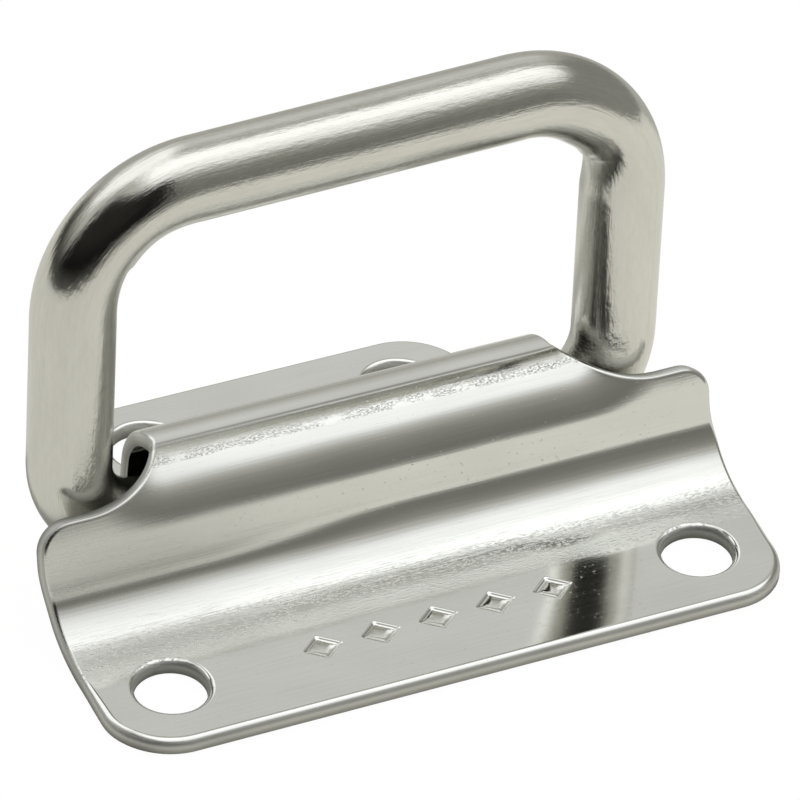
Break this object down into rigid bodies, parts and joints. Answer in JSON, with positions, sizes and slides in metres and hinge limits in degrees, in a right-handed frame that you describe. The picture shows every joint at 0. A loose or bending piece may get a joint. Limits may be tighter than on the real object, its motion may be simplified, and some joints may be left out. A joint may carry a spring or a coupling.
{
  "type": "chest handle",
  "caption": "Folding chest handle: a round-bar bail hinged in the arched tunnel of a pressed polished sheet base with a wide front flange and a narrow rear flange, both with fixing holes.",
  "frame": {"origin": "centre of the mounting face, below the middle of the base", "axes": "+X along the hinge, +Y from the front flange to the rear flange, towards which the bail folds, +Z away from the chest"},
  "size_m": [0.07, 0.048, 0.0452],
  "materials": {
    "polished_sheet": "mirror-polished stainless sheet with faint forming marks along the bends",
    "polished_bar": "satin-polished stainless bar with fine lengthwise brushing"
  },
  "bodies": {
    "base": {"base_plate": "polished_sheet"},
    "bail": {"bail_handle": "polished_bar"}
  },
  "joints": [
    {"name": "bail_fold", "type": "hinge", "parent": "base", "child": "bail", "pos_m": [0, 0.003, 0.0053], "axis": [-1, 0, 0], "range_deg": [-2.7, 85]}
  ]
}
